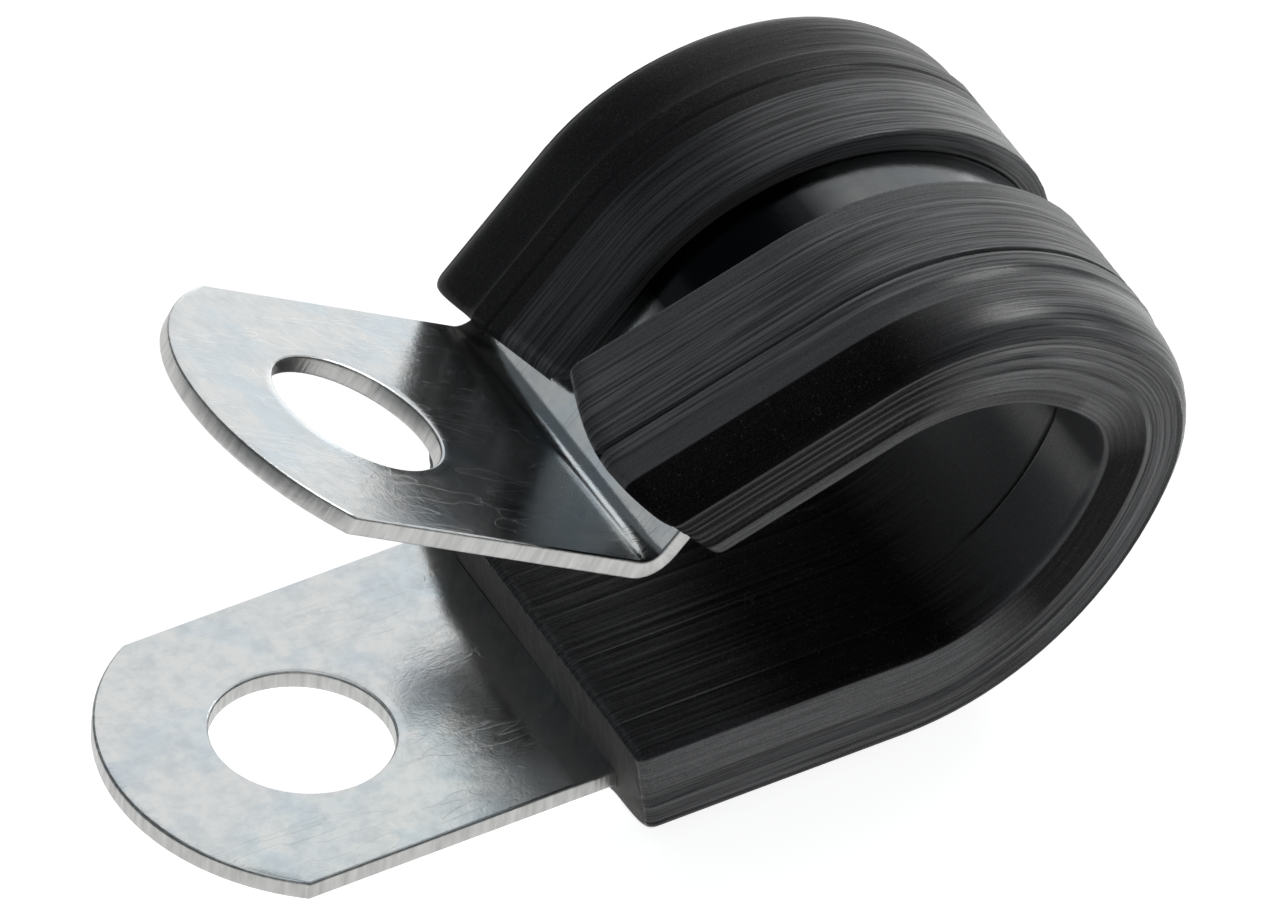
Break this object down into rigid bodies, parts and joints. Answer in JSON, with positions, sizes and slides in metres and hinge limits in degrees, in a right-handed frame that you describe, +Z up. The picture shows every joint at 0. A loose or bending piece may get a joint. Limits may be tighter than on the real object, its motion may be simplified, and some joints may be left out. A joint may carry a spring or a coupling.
{
  "type": "rubber lined p clip",
  "caption": "Open metal clip with a rubber-lined loop for a cable or hose and two flat legs with bolt holes.",
  "frame": {"origin": "centre of the lower leg's bolt hole, on the leg's top face", "axes": "+X from the lower leg's tip into the loop, +Y across the strap, +Z up through the lower hole towards the upper leg"},
  "size_m": [0.0427, 0.0204, 0.0197],
  "materials": {
    "zinc_plated_steel": "bright zinc plating",
    "rubber": "extruded, satin, with drawn lines along it"
  },
  "bodies": {
    "root": {"strap": "zinc_plated_steel", "liner": "rubber"}
  },
  "joints": []
}
